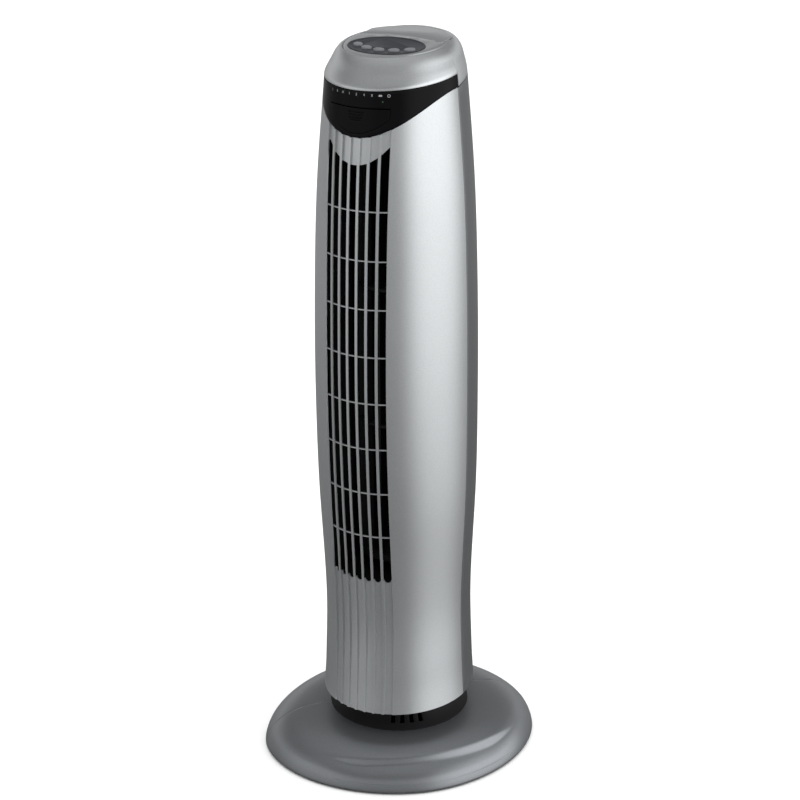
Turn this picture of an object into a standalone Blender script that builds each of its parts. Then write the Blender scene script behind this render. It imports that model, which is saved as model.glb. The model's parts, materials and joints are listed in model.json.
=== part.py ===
"""Oscillating tower fan with a remote control, as separate parts.  Metres, +Z up.

The tower faces -Y.  It stands on a base that is turned BASE_TURN about +Z, so the tower is at
one end of its sweep.  The origin is on the pivot axis, level with the soles of the feet.
"""
import math

import bmesh
import bpy
from mathutils import Vector

# Driving dimensions
GAP = 0.0003
WALL = 0.0025
BASE_TURN = math.radians(45.0)
BASE_HALF_LENGTH = 0.1562
BASE_HALF_DEPTH = 0.1350
BASE_SEAM_Y = 0.012
RIM_SQUARENESS = 1.9

SHELL_BOTTOM = 0.0709
DEPTH_FRONT = 1.104
DEPTH_REAR = 1.12
WIDTH_STATIONS = (
    (0.040, 0.0850), (0.071, 0.0828), (0.105, 0.0808), (0.190, 0.0790), (0.320, 0.0842),
    (0.430, 0.0852), (0.540, 0.0842), (0.650, 0.0806), (0.760, 0.0724), (0.820, 0.0670),
)
FRONT_BULGE = ((0.14, -0.0010), (0.25, 0.0), (0.46, 0.0040), (0.68, 0.0026), (0.78, 0.0008))
REAR_BULGE = ((0.60, 0.0), (0.77, 0.0028))

SLOTS = 7
SLOT_WIDTH = 0.0079
RIB_WIDTH = 0.0028
SLOT_BOTTOM = 0.2310
SLOT_TOP = 0.6948
SLOT_TOP_CURVE = 0.084
CROSS_BARS = 8
BAR_TOP = 0.6484
BAR_PITCH = 0.0517
BAR_WIDTH = 0.0020

BAND_BOTTOM = 0.7230
BAND_RISE = 0.0420
BAND_TOP = 0.7700
BAND_END = math.radians(92.0)
BAND_WALL = 0.0020
FLAP_HALF_ANGLE = math.radians(26.5)
FLAP_TOP = 0.7525
FLAP_BOTTOM = 0.7275
FLAP_TOP_GAP = 0.0012
FLAP_PIVOT = (0.0, -0.0836, 0.7305)

PLATEAU_Z = 0.8055
PLATEAU_SLOPE = 0.08
PANEL_Y = -0.0190
PANEL_HALF_LENGTH = 0.0422
PANEL_HALF_DEPTH = 0.0308
BUTTONS = 5
BUTTON_ARC = 0.050
BUTTON_STEP = math.radians(18.5)
BUTTON_Y = -0.0345
REMOTE_HALF_LENGTH = 0.0475
REMOTE_THICKNESS = 0.0085

IMPELLER_Y = 0.006
IMPELLER_RADIUS = 0.046
IMPELLER_BOTTOM = 0.2380
IMPELLER_TOP = 0.7040
BLADES = 16
IMPELLER_BAYS = 3

GEAR_MODULE = 0.0015
GEAR_TEETH = 40
PINION_TEETH = 14
PINION_BEARING = math.radians(150.0)


# --- common tools -----------------------------------------------------------------------------
def clear_scene():
    for obj in list(bpy.data.objects):
        bpy.data.objects.remove(obj, do_unlink=True)


def material(name, color, roughness, metallic=0.0):
    mat = bpy.data.materials.get(name)
    if mat is None:
        mat = bpy.data.materials.new(name)
        mat.use_nodes = True
        shader = mat.node_tree.nodes["Principled BSDF"]
        shader.inputs["Base Color"].default_value = (*color, 1.0)
        shader.inputs["Roughness"].default_value = roughness
        shader.inputs["Metallic"].default_value = metallic
    return mat


SILVER = ("silver_paint", (0.55, 0.57, 0.58), 0.32, 0.75)
BASE_SILVER = ("base_paint", (0.30, 0.32, 0.33), 0.35, 0.70)
REAR_GREY = ("rear_grey", (0.16, 0.165, 0.17), 0.40, 0.40)
GLOSS_BLACK = ("gloss_black", (0.012, 0.012, 0.014), 0.10)
MATTE_BLACK = ("matte_black", (0.020, 0.020, 0.022), 0.55)
CHARCOAL = ("charcoal", (0.050, 0.053, 0.058), 0.35)
BUTTON_GREY = ("button_grey", (0.20, 0.21, 0.22), 0.40)
RUBBER = ("rubber", (0.030, 0.030, 0.030), 0.85)
STEEL = ("steel", (0.60, 0.60, 0.60), 0.30, 1.0)
CIRCUIT = ("circuit_board", (0.04, 0.16, 0.07), 0.50)
WHITE_NYLON = ("nylon", (0.78, 0.77, 0.72), 0.45)
FELT = ("felt", (0.55, 0.53, 0.48), 0.95)


def make(name, bm, finish, parent=None):
    mesh = bpy.data.meshes.new(name)
    bm.to_mesh(mesh)
    bm.free()
    obj = bpy.data.objects.new(name, mesh)
    bpy.context.scene.collection.objects.link(obj)
    obj.data.materials.append(material(*finish))
    mesh.shade_smooth()
    mesh.set_sharp_from_angle(angle=math.radians(35))
    obj.parent = parent
    return obj


def empty(name, location=(0, 0, 0), turn=0.0, parent=None):
    obj = bpy.data.objects.new(name, None)
    bpy.context.scene.collection.objects.link(obj)
    obj.location = location
    obj.rotation_euler = (0, 0, turn)
    obj.parent = parent
    return obj


def thicken(obj, wall):
    mod = obj.modifiers.new("wall", "SOLIDIFY")
    mod.thickness = wall
    mod.offset = -1.0
    mod.use_even_offset = True
    return obj


def cut(obj, *cutters):
    for cutter in cutters:
        cutter.hide_render = True
        cutter.display_type = "WIRE"
        mod = obj.modifiers.new("cut", "BOOLEAN")
        mod.operation = "DIFFERENCE"
        mod.object = cutter
    return obj


def skin(rows, columns, point, is_open=None, loop=False):
    """Quads through point(row, column); is_open(i, j) leaves a cell out."""
    bm = bmesh.new()
    grid = [[bm.verts.new(point(r, c)) for c in columns] for r in rows]
    count = len(columns) if loop else len(columns) - 1
    for i in range(len(rows) - 1):
        for j in range(count):
            if is_open and is_open(i, j):
                continue
            k = (j + 1) % len(columns)
            bm.faces.new((grid[i][j], grid[i][k], grid[i + 1][k], grid[i + 1][j]))
    loose = [v for v in bm.verts if not v.link_faces]
    bmesh.ops.delete(bm, geom=loose, context="VERTS")
    return bm


def prism(outline, low, high, slope=0.0):
    """A plate of the given plan outline; slope lifts it with y."""
    bm = bmesh.new()
    face = bm.faces.new([bm.verts.new((x, y, low + slope * y)) for x, y in outline])
    top = bmesh.ops.extrude_face_region(bm, geom=[face])["geom"]
    moved = [v for v in top if isinstance(v, bmesh.types.BMVert)]
    bmesh.ops.translate(bm, verts=moved, vec=(0, 0, high - low))
    bmesh.ops.recalc_face_normals(bm, faces=bm.faces)
    return bm


def lathe(profile, segments=32, center=(0.0, 0.0)):
    """Turns a closed (r, z) profile round a vertical axis; points with r = 0 meet on it."""
    bm = bmesh.new()
    rings = []
    for r, z in profile:
        if r < 1e-6:
            rings.append([bm.verts.new((center[0], center[1], z))])
            continue
        turn = [math.tau * k / segments for k in range(segments)]
        around = [(center[0] + r * math.cos(a), center[1] + r * math.sin(a), z) for a in turn]
        rings.append([bm.verts.new(spot) for spot in around])
    closed = all(len(ring) > 1 for ring in rings)
    pairs = list(zip(rings, rings[1:] + rings[:1])) if closed else list(zip(rings, rings[1:]))
    for low, high in pairs:
        for k in range(segments):
            n = (k + 1) % segments
            corners = [low[k % len(low)], low[n % len(low)], high[n % len(high)], high[k % len(high)]]
            unique = list(dict.fromkeys(corners))
            if len(unique) > 2:
                bm.faces.new(unique)
    bmesh.ops.recalc_face_normals(bm, faces=bm.faces)
    return bm


def disc(radius, low, high, segments=32, center=(0.0, 0.0)):
    return lathe(((0, low), (radius, low), (radius, high), (0, high)), segments, center)


def ring(inner, outer, low, high, segments=32, center=(0.0, 0.0)):
    return lathe(((inner, low), (outer, low), (outer, high), (inner, high)), segments, center)


def block(low, high):
    bm = bmesh.new()
    bmesh.ops.create_cube(bm, size=1.0)
    for v in bm.verts:
        for k in range(3):
            v.co[k] = low[k] if v.co[k] < 0 else high[k]
    return bm


def spread(first, last, count):
    return [first + (last - first) * k / (count - 1) for k in range(count)]


# --- the tower's section ------------------------------------------------------------------------
def half_width(z):
    """Smooth half width of the tower at a height, through the stations."""
    stations = WIDTH_STATIONS
    z = min(max(z, stations[1][0]), stations[-2][0] + 0.05)
    k = 1
    while k < len(stations) - 3 and z > stations[k + 1][0]:
        k += 1
    (z0, w0), (z1, w1), (z2, w2), (z3, w3) = stations[k - 1:k + 3]
    t = (z - z1) / (z2 - z1)
    m1 = (w2 - w0) / (z2 - z0) * (z2 - z1)
    m2 = (w3 - w1) / (z3 - z1) * (z2 - z1)
    return (
        (2 * t**3 - 3 * t**2 + 1) * w1 + (t**3 - 2 * t**2 + t) * m1
        + (3 * t**2 - 2 * t**3) * w2 + (t**3 - t**2) * m2
    )


def bulge(stations, z):
    """Eased value between (height, value) stations."""
    if z <= stations[0][0]:
        return stations[0][1]
    for (z0, b0), (z1, b1) in zip(stations, stations[1:]):
        if z <= z1:
            t = (z - z0) / (z1 - z0)
            return b0 + (b1 - b0) * t * t * (3 - 2 * t)
    return stations[-1][1]


def half_depth(z, front=True):
    if front:
        return DEPTH_FRONT * half_width(z) + bulge(FRONT_BULGE, z)
    return DEPTH_REAR * half_width(z) + bulge(REAR_BULGE, z)


def tower_point(z, turn, inset=0.0):
    """Point on the tower's surface; turn is measured from the front, positive towards +X."""
    depth = half_depth(z, math.cos(turn) > 0) - inset
    return Vector(((half_width(z) - inset) * math.sin(turn), -depth * math.cos(turn), z))


def tower_outline(z, inset, count=40):
    return [tower_point(z, math.tau * k / count, inset).xy for k in range(count)]


def band_low(turn):
    return BAND_BOTTOM + BAND_RISE * math.sin(turn) ** 2


def band_high(turn):
    return BAND_TOP + 0.008 * (1 - math.cos(turn))


def rear_edge(turn):
    """Height of the joint between the rear shell and the cap, past the band's ends."""
    past = (abs(turn) - BAND_END) / (math.pi - BAND_END)
    return 0.7655 + 0.0145 * math.sin(math.pi / 2 * max(past, 0.0))


def plateau(y):
    return PLATEAU_Z + PLATEAU_SLOPE * y


# --- base ---------------------------------------------------------------------------------------
def base_radius(angle):
    c, s = abs(math.cos(angle)), abs(math.sin(angle))
    n = RIM_SQUARENESS
    return ((c / BASE_HALF_LENGTH) ** n + (s / BASE_HALF_DEPTH) ** n) ** (-1 / n)


def base_parts(turned):
    hole = 0.0700
    dome = (
        (0.00, 0.0450), (0.12, 0.0448), (0.36, 0.0438), (0.56, 0.0410), (0.72, 0.0358),
        (0.86, 0.0270), (0.95, 0.0167), (0.985, 0.0096), (1.00, 0.0035), (0.992, 0.0018),
    )
    angles = [math.tau * k / 40 for k in range(40)]

    def dome_point(row, angle):
        r = hole + (base_radius(angle) - hole) * row[0]
        return (r * math.cos(angle), r * math.sin(angle), row[1])

    halves = (("base_front", BASE_SEAM_Y - GAP / 2, 0.3), ("base_rear", BASE_SEAM_Y + GAP / 2, -0.3))
    for name, seam, far in halves:
        bm = skin(dome[::-1], angles, dome_point, loop=True)
        half = thicken(make(name, bm, BASE_SILVER, turned), WALL)
        low_y, high_y = min(seam, far), max(seam, far)
        trim = make(name + "_trim", block((-0.3, low_y, -0.1), (0.3, high_y, 0.2)), BASE_SILVER, turned)
        cut(half, trim)
    gland_y = base_radius(math.pi / 2)
    bore = make("gland_bore", disc(0.0055, -0.012, 0.012, 20), BASE_SILVER, turned)
    bore.location = (0, gland_y - 0.001, 0.0108)
    bore.rotation_euler = (math.pi / 2, 0, 0)
    cut(bpy.data.objects["base_rear"], bore)
    gland = make("cord_gland", ring(0.0032, 0.0050, -0.007, 0.0035, 20), RUBBER, turned)
    gland.location = bore.location
    gland.rotation_euler = bore.rotation_euler

    edge = [(base_radius(a) - 0.0095) * Vector((math.cos(a), math.sin(a))) for a in angles]
    plate = make("base_plate", prism(edge, 0.0036, 0.0056), MATTE_BLACK, turned)
    spots = [(x, y) for x in (-0.088, 0.088) for y in (-0.062, 0.062)]
    for k, (x, y) in enumerate(spots, 1):
        foot = make(f"foot_{k}", disc(0.0095, 0.0, 0.0033, 20), RUBBER, turned)
        foot.location = (x, y, 0)
        hole_cutter = make(f"base_screw_hole_{k}", disc(0.0042, 0.002, 0.008, 12), STEEL, turned)
        hole_cutter.location = (x * 0.62, y * 1.05, 0)
        cut(plate, hole_cutter)
        screw = make(f"base_screw_{k}", disc(0.0036, 0.0030, 0.0058, 12), STEEL, turned)
        screw.location = hole_cutter.location


def neck_parts(turned):
    vents = 4
    vent_pitch = math.radians(8.7)
    vent_half = math.radians(1.7)
    middle = -math.pi / 2 - vent_pitch
    centres = [middle + vent_pitch * (k - (vents - 1) / 2) for k in range(vents)]
    angles = [c + side * vent_half for c in centres for side in (-1, 1)]
    angles += spread(angles[-1], angles[0] + math.tau, 30)[1:-1]
    flare = ((0.0775, 0.0474), (0.0705, 0.0508), (0.0660, 0.0568), (0.0628, 0.0650), (0.0600, 0.0672),
             (0.0165, 0.0672))

    def flare_point(row, angle):
        return (row[0] * math.cos(angle), row[0] * math.sin(angle), row[1])

    def vent(i, j):
        return i == 1 and j < 2 * vents and j % 2 == 0

    thicken(make("neck", skin(flare, angles, flare_point, vent, loop=True), MATTE_BLACK, turned), 0.0018)
    tube = ((0.0105, 0.052), (0.0135, 0.052), (0.0135, 0.0620), (0.0300, 0.0620), (0.0300, 0.0645),
            (0.0135, 0.0645), (0.0135, 0.0850), (0.0105, 0.0850))
    make("pivot_tube", lathe(tube, 28), STEEL, turned)
    make("retaining_ring", ring(0.0139, 0.0205, 0.0805, 0.0825, 28), STEEL, turned)


# --- gears --------------------------------------------------------------------------------------
def tooth(teeth, addendum, middle, points=4, slack=0.00012):
    """Outline points of one involute tooth, root to root, centred on an angle."""
    pitch = GEAR_MODULE * teeth / 2
    pressure = math.radians(20)
    base = pitch * math.cos(pressure)
    root = pitch - 1.25 * GEAR_MODULE
    tip = pitch + addendum * GEAR_MODULE

    def flank(r):
        reach = math.acos(min(1.0, base / max(r, base)))
        return math.tan(reach) - reach

    half = math.pi / 2 / teeth + flank(pitch) - slack / pitch
    radii = spread(max(base, root + 0.0001), tip, points)
    rise = [(r, half - flank(r)) for r in radii]
    side = [(root, rise[0][1] + 0.01)] + rise
    left = [(r, middle - a) for r, a in side]
    right = [(r, middle + a) for r, a in reversed(side)]
    return [(r * math.cos(a), r * math.sin(a)) for r, a in left + right]


def gear_parts(turned, pinion_axis):
    pitch_step = math.tau / GEAR_TEETH
    start = PINION_BEARING - BASE_TURN
    first, count = -2, 15
    outline = []
    for k in range(count):
        outline += tooth(GEAR_TEETH, 0.85, start + pitch_step * (first + k + 0.5))
    root = GEAR_MODULE * GEAR_TEETH / 2 - 1.25 * GEAR_MODULE
    begin = start + pitch_step * (first + count)
    end = start + pitch_step * first + math.tau
    outline += [(root * math.cos(a), root * math.sin(a)) for a in spread(begin, end, 24)[:-1]]
    gear = make("base_gear", prism(outline, 0.0676, 0.0726), WHITE_NYLON, turned)
    cut(gear, make("base_gear_bore", disc(0.0140, 0.06, 0.08, 32), WHITE_NYLON, turned))

    outline = []
    facing = PINION_BEARING + math.pi
    for k in range(PINION_TEETH):
        outline += tooth(PINION_TEETH, 0.85, facing + math.tau / PINION_TEETH * k)
    pinion = make("drive_pinion", prism(outline, 0.0679, 0.0723), WHITE_NYLON, pinion_axis)
    shaft = make("pinion_spindle", disc(0.0030, 0.0727, 0.0766, 16), STEEL, pinion_axis)
    return pinion, shaft


# --- tower shells -------------------------------------------------------------------------------
def front_shell(tower):
    """Front shell with seven slots; eight thin cross bars tie the ribs together."""
    pitch = SLOT_WIDTH + RIB_WIDTH
    lines = []
    for k in range(SLOTS):
        middle = (k - (SLOTS - 1) / 2) * pitch
        lines += [middle - SLOT_WIDTH / 2, middle + SLOT_WIDTH / 2]
    side = 5
    edge = math.radians(89.8)
    columns = [("side", -1, k) for k in range(side)] + [("slot", x, 0) for x in lines]
    columns += [("side", 1, side - 1 - k) for k in range(side)]
    centres = [BAR_TOP - k * BAR_PITCH for k in reversed(range(CROSS_BARS))]
    bars = [centre + side * BAR_WIDTH / 2 for centre in centres for side in (-1, 1)]
    rows = [SHELL_BOTTOM, 0.090, 0.120, 0.160, 0.200, SLOT_BOTTOM, *bars, "slot_top", "middle", "top"]
    first = rows.index(SLOT_BOTTOM)
    last = rows.index("slot_top")

    def turn_of(column, z):
        kind, a, k = column
        if kind == "slot":
            return math.asin(a / half_width(z))
        start = math.asin(lines[-1] / half_width(z))
        return a * (edge + (start - edge) * k / side)

    def point(row, column):
        if isinstance(row, float):
            return tower_point(row, turn_of(column, row))
        turn = turn_of(column, 0.70)
        bend = min(abs(turn), math.asin(lines[-1] / half_width(0.70)))
        top_of_slot = SLOT_TOP + SLOT_TOP_CURVE * bend * bend
        top = band_low(turn) - GAP
        z = {"slot_top": top_of_slot, "middle": (top_of_slot + top) / 2, "top": top}[row]
        return tower_point(z, turn)

    def opening(i, j):
        in_slot = side <= j < side + 2 * SLOTS and (j - side) % 2 == 0
        in_bay = first <= i < last and (i - first) % 2 == 0
        return in_slot and in_bay

    thicken(make("front_shell", skin(rows, columns, point, opening), SILVER, tower), WALL)


def rear_shell(tower):
    """Rear shell with the air intake: three columns of level slits."""
    slits = 15
    bottom, top = 0.250, 0.690
    lines = []
    for k in range(slits):
        middle = bottom + (top - bottom) * (k + 0.5) / slits
        lines += [middle - 0.0050, middle + 0.0050]
    rows = [SHELL_BOTTOM, 0.105, 0.160, 0.205, *lines, 0.715, "top"]
    half = (90.2, 92.3, 103, 114, 125, 143, 147, 165, 169)
    turns = [math.radians(a) for a in half] + [math.radians(360 - a) for a in reversed(half)]
    first = rows.index(lines[0])

    def point(row, turn):
        inner = turn if turn <= math.pi else turn - math.tau
        top_edge = rear_edge(inner) if abs(inner) > math.radians(93) else band_low(inner)
        return tower_point(top_edge - GAP if row == "top" else row, turn)

    def opening(i, j):
        in_slit = first <= i < first + 2 * slits and (i - first) % 2 == 0
        return in_slit and j in (4, 6, 8, 10, 12)

    shell = make("rear_shell", skin(rows, turns, point, opening), REAR_GREY, tower)
    thicken(shell, WALL)
    spots = [(math.radians(a), z) for a in (118, 242) for z in (0.135, 0.735)]
    for k, (turn, z) in enumerate(spots, 1):
        seat = tower_point(z, turn)
        aim = Vector((seat.x, seat.y, 0)).normalized()
        for name, radius, start, end in (("hole", 0.0044, -0.010, 0.008), ("screw", 0.0037, -0.0040, -0.0006)):
            title = f"shell_{name}_{k}"
            obj = make(title, disc(radius, start, end, 12), STEEL, tower)
            obj.location = seat
            obj.rotation_euler = aim.to_track_quat("Z", "Y").to_euler()
            if name == "hole":
                cut(shell, obj)


def band_parts(tower, flap_axis):
    """Gloss black display band and the D-shaped flap that tilts out of it."""
    end = BAND_END - math.radians(0.8)
    turns = spread(-end, end, 27)
    shares = spread(0.0, 1.0, 5)

    def point(share, turn):
        z = band_low(turn) + GAP + (band_high(turn) - band_low(turn) - 2 * GAP) * share
        return tower_point(z, turn)

    band = thicken(make("display_band", skin(shares, turns, point), GLOSS_BLACK, tower), BAND_WALL)

    def flap_floor(turn):
        return FLAP_BOTTOM + 0.0152 * (turn / FLAP_HALF_ANGLE) ** 2

    def frame(margin):
        reach = FLAP_HALF_ANGLE + margin / 0.078
        steps = spread(-reach, reach, 17)
        lower = [(0.0765 * math.sin(a), flap_floor(a) - margin) for a in steps]
        upper = [(0.0765 * math.sin(a), FLAP_TOP + FLAP_TOP_GAP) for a in reversed(steps)]
        return lower + upper

    cutter = make("flap_window", prism(frame(0.0004), 0.05, 0.11), GLOSS_BLACK, tower)
    cutter.rotation_euler = (math.pi / 2, 0, 0)
    cut(band, cutter)

    steps = spread(-FLAP_HALF_ANGLE, FLAP_HALF_ANGLE, 17)

    def flap_point(share, turn):
        z = flap_floor(turn) + (FLAP_TOP - flap_floor(turn)) * share
        x = 0.0765 * math.sin(turn)
        return tower_point(z, math.asin(x / half_width(z))) - flap_axis.location

    thicken(make("front_flap", skin(spread(0, 1, 4), steps, flap_point), GLOSS_BLACK, flap_axis), BAND_WALL)
    pad = make("scent_pad", block((-0.0180, -0.0760, 0.7340), (0.0180, -0.0735, 0.7480)), FELT, flap_axis)
    pad.location = -flap_axis.location


def cap_parts(tower):
    """Silver cap: the front leans back to a crease, the back rounds over; both meet a flat top."""
    front = (
        (0.0000, None), (0.0000, None), (0.0022, 0.7780), (0.0065, 0.7870), (0.0115, 0.7950), (0.0142, 0.7982),
        (0.0165, 0.8002), (0.0200, 0.8012), (0.0260, 0.8010),
    )
    back = (
        (0.0000, None), (0.0000, None), (0.0004, 0.7860), (0.0010, 0.7920), (0.0030, 0.8000), (0.0060, 0.8045),
        (0.0100, 0.8077), (0.0155, 0.8095), (0.0230, 0.8098),
    )
    turns = [math.radians(a) for a in (0, 9, 18, 27, 36, 46, 56, 66, 76, 86, 91.6, 92.4, 100, 110, 120, 130,
                                       141, 154, 167)]
    turns += [math.pi] + [math.tau - a for a in reversed(turns[1:])]

    def cap_point(row, turn):
        inner = turn if turn <= math.pi else turn - math.tau
        weight = (1 + math.cos(inner)) / 2
        if row < 2:
            edge = band_high(inner) if abs(inner) < BAND_END else rear_edge(inner)
            return tower_point(edge + GAP + 0.0016 * row, turn)
        inset = front[row][0] * weight + back[row][0] * (1 - weight)
        z = front[row][1] * weight + back[row][1] * (1 - weight)
        flat = tower_point(0.7850, turn, inset + 0.0008)
        return Vector((flat.x, flat.y, z))

    def inner_point(share, turn):
        rim = cap_point(len(front) - 1, turn)
        x, y = rim.x * share, rim.y * share
        level = plateau(y)
        return Vector((x, y, level + (rim.z - plateau(rim.y)) * share**4))

    rows = [("ring", k) for k in range(len(front))] + [("top", 0.8), ("top", 0.35)]

    def point(row, turn):
        return cap_point(row[1], turn) if row[0] == "ring" else inner_point(row[1], turn)

    bm = skin(rows, turns, point, loop=True)
    rim = [e for e in bm.edges if e.is_boundary and all(v.co.z > 0.80 for v in e.verts)]
    bmesh.ops.contextual_create(bm, geom=rim)
    cap = thicken(make("top_cap", bm, SILVER, tower), WALL)
    cut(cap, make("panel_window", prism(panel_outline(0.0004), 0.79, 0.83), SILVER, tower))
    cut(cap, make("remote_window", prism(remote_outline(0.0004), 0.79, 0.83), SILVER, tower))


def panel_outline(margin, count=40):
    a, b = PANEL_HALF_LENGTH + margin, PANEL_HALF_DEPTH + margin
    turns = [math.tau * k / count for k in range(count)]
    return [(a * math.cos(t), PANEL_Y + b * math.sin(t)) for t in turns]


def button_spot(k):
    turn = BUTTON_STEP * (k - (BUTTONS - 1) / 2)
    return (BUTTON_ARC * math.sin(turn), BUTTON_Y + BUTTON_ARC * (1 - math.cos(turn)), turn)


def button_outline(margin, turn, count=16):
    a, b = 0.0060 + margin, 0.0047 + margin
    points = []
    for k in range(count):
        t = math.tau * k / count
        x, y = a * math.cos(t), b * math.sin(t)
        points.append((x * math.cos(turn) - y * math.sin(turn), x * math.sin(turn) + y * math.cos(turn)))
    return points


def panel_parts(tower, button_axes):
    level = PLATEAU_Z - 0.0004
    plate = prism(panel_outline(0.0), level - 0.0022, level, PLATEAU_SLOPE)
    panel = make("control_panel", plate, CHARCOAL, tower)
    for k, axis in enumerate(button_axes):
        x, y, turn = button_spot(k)
        hole = [(x + u, y + v) for u, v in button_outline(0.0004, turn)]
        cut(panel, make(f"button_hole_{k + 1}", prism(hole, 0.79, 0.82), CHARCOAL, tower))
        bm = prism(button_outline(0.0, turn), -0.0050, 0.0010, PLATEAU_SLOPE)
        crown = max(bm.faces, key=lambda f: f.calc_center_median().z)
        bmesh.ops.inset_region(bm, faces=[crown], thickness=0.0016)
        bmesh.ops.translate(bm, verts=crown.verts, vec=(0, 0, 0.0007))
        make(f"button_{k + 1}", bm, BUTTON_GREY, axis)
    board = block((-0.036, -0.044, 0.7870), (0.036, 0.004, 0.7886))
    make("control_board", board, CIRCUIT, tower)


def remote_outline(margin, count=12):
    """Plan of the docked remote: its front follows the panel, its back follows the cap."""
    reach = REMOTE_HALF_LENGTH + margin
    xs = spread(-reach, reach, count)
    front = [(x, 0.0200 - 0.0080 * (x / REMOTE_HALF_LENGTH) ** 2 - margin) for x in xs]
    rear = [(x, 0.0575 * math.sqrt(1 - (x / 0.0590) ** 2) + margin) for x in reversed(xs)]
    return front + rear


def remote_parts(tower, remote_axis):
    top = PLATEAU_Z
    slab = prism(remote_outline(0.0), top - REMOTE_THICKNESS, top, PLATEAU_SLOPE)
    make("remote_control", slab, SILVER, remote_axis)
    floor = top - REMOTE_THICKNESS - 0.0005
    tub = make("remote_cradle", prism(remote_outline(0.0026), floor - 0.002, top - 0.0058, PLATEAU_SLOPE),
               MATTE_BLACK, tower)
    hollow = prism(remote_outline(0.0006), floor, top + 0.01, PLATEAU_SLOPE)
    cut(tub, make("cradle_hollow", hollow, MATTE_BLACK, tower))


# --- inside the tower -----------------------------------------------------------------------------
def chassis_parts(tower):
    plate = make("chassis_plate", prism(tower_outline(0.0755, 0.0055), 0.0740, 0.0765), MATTE_BLACK, tower)
    cut(plate, make("pivot_hole", disc(0.0170, 0.07, 0.08, 32), MATTE_BLACK, tower))
    spot = pinion_spot()
    cut(plate, make("spindle_hole", disc(0.0045, 0.07, 0.08, 16, spot), MATTE_BLACK, tower))
    make("pivot_bush", ring(0.0139, 0.0167, 0.0735, 0.0800, 28), WHITE_NYLON, tower)
    make("swing_motor", disc(0.0190, 0.0770, 0.0960, 24, spot), STEEL, tower)
    low = make("motor_bulkhead", prism(tower_outline(0.213, 0.0055), 0.2120, 0.2145), MATTE_BLACK, tower)
    center = (0.0, IMPELLER_Y)
    cut(low, make("motor_hole", disc(0.0140, 0.20, 0.22, 24, center), MATTE_BLACK, tower))
    can = ((0, 0.1280), (0.0360, 0.1280), (0.0400, 0.1320), (0.0400, 0.2000), (0.0340, 0.2060),
           (0.0120, 0.2060), (0.0120, 0.2095), (0, 0.2095))
    make("fan_motor", lathe(can, 28, center), STEEL, tower)
    high = make("top_bulkhead", prism(tower_outline(0.7125, 0.0055), 0.7110, 0.7135), MATTE_BLACK, tower)
    cut(high, make("bearing_hole", disc(0.0125, 0.70, 0.72, 24, center), MATTE_BLACK, tower))
    make("top_bearing", ring(0.0040, 0.0122, 0.7100, 0.7180, 24, center), RUBBER, tower)
    board = block((-0.040, -0.0562, 0.7560), (0.040, -0.0546, 0.7680))
    make("display_board", board, CIRCUIT, tower)
    make("display_carrier", block((-0.046, -0.0540, 0.7290), (0.046, -0.0520, 0.7700)), MATTE_BLACK, tower)


def duct_wall(name, path, tower):
    bm = skin((0.2150 + GAP, 0.7110 - GAP), path, lambda z, p: (p[0], p[1], z))
    thicken(make(name, bm, MATTE_BLACK, tower), 0.0018)


def duct_parts(tower):
    """Scroll wall on one side of the impeller and the cut-off wall on the other."""
    turns = spread(math.radians(200), math.radians(100), 9)
    reach = spread(0.0520, 0.0640, 9)
    scroll = [(-0.0480, -0.0600)]
    scroll += [(r * math.cos(a), IMPELLER_Y + r * math.sin(a)) for a, r in zip(turns, reach)]
    duct_wall("scroll_wall", scroll, tower)
    duct_wall("cutoff_wall", [(0.0500, -0.0120), (0.0525, -0.0200), (0.0520, -0.0340), (0.0480, -0.0600)], tower)


def impeller_parts(axis):
    blade = math.radians(3)
    turns = []
    for k in range(BLADES):
        turns += [math.tau * k / BLADES - blade / 2, math.tau * k / BLADES + blade / 2]
    rows = []
    for z in spread(IMPELLER_BOTTOM, IMPELLER_TOP - 0.003, IMPELLER_BAYS + 1):
        rows += [z, z + 0.003]

    def point(z, a):
        return (IMPELLER_RADIUS * math.cos(a), IMPELLER_RADIUS * math.sin(a), z)

    bars = skin(rows, turns, point, lambda i, j: i % 2 and j % 2, loop=True)
    cage = make("impeller_blades", bars, MATTE_BLACK, axis)
    thicken(cage, 0.0080)
    hub = ((0.0043, 0.2270), (0.0120, 0.2270), (0.0120, 0.2345), (0.0460, 0.2345), (0.0460, 0.2376),
           (0.0043, 0.2376))
    make("impeller_hub", lathe(hub, 28), MATTE_BLACK, axis)
    lid = ((0, 0.7044), (0.0460, 0.7044), (0.0460, 0.7070), (0.0080, 0.7070), (0.0080, 0.7090), (0.0036, 0.7090),
           (0.0036, 0.7200), (0, 0.7200))
    make("impeller_end_disc", lathe(lid, 28), MATTE_BLACK, axis)
    make("motor_shaft", disc(0.0039, 0.2100, 0.2372, 16), STEEL, axis)


def pinion_spot():
    reach = GEAR_MODULE * (GEAR_TEETH + PINION_TEETH) / 2
    return (reach * math.cos(PINION_BEARING), reach * math.sin(PINION_BEARING))


def build():
    clear_scene()
    turned = empty("base_frame", turn=BASE_TURN)
    tower = empty("tower_pivot")
    base_parts(turned)
    neck_parts(turned)
    gear_parts(turned, empty("pinion_axis", (*pinion_spot(), 0), parent=tower))
    front_shell(tower)
    rear_shell(tower)
    flap_axis = empty("flap_axis", FLAP_PIVOT, parent=tower)
    band_parts(tower, flap_axis)
    cap_parts(tower)
    axes = []
    for k in range(BUTTONS):
        x, y, _ = button_spot(k)
        axes.append(empty(f"button_axis_{k + 1}", (x, y, plateau(y)), parent=tower))
    panel_parts(tower, axes)
    remote_parts(tower, empty("remote_dock", parent=tower))
    chassis_parts(tower)
    duct_parts(tower)
    impeller_parts(empty("impeller_axis", (0, IMPELLER_Y, 0), parent=tower))


build()
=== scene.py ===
"""Look of the oscillating tower fan: silver tower, dark silver base, black display band."""
import json
import math

import bpy
from mathutils import Matrix, Vector


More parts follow.
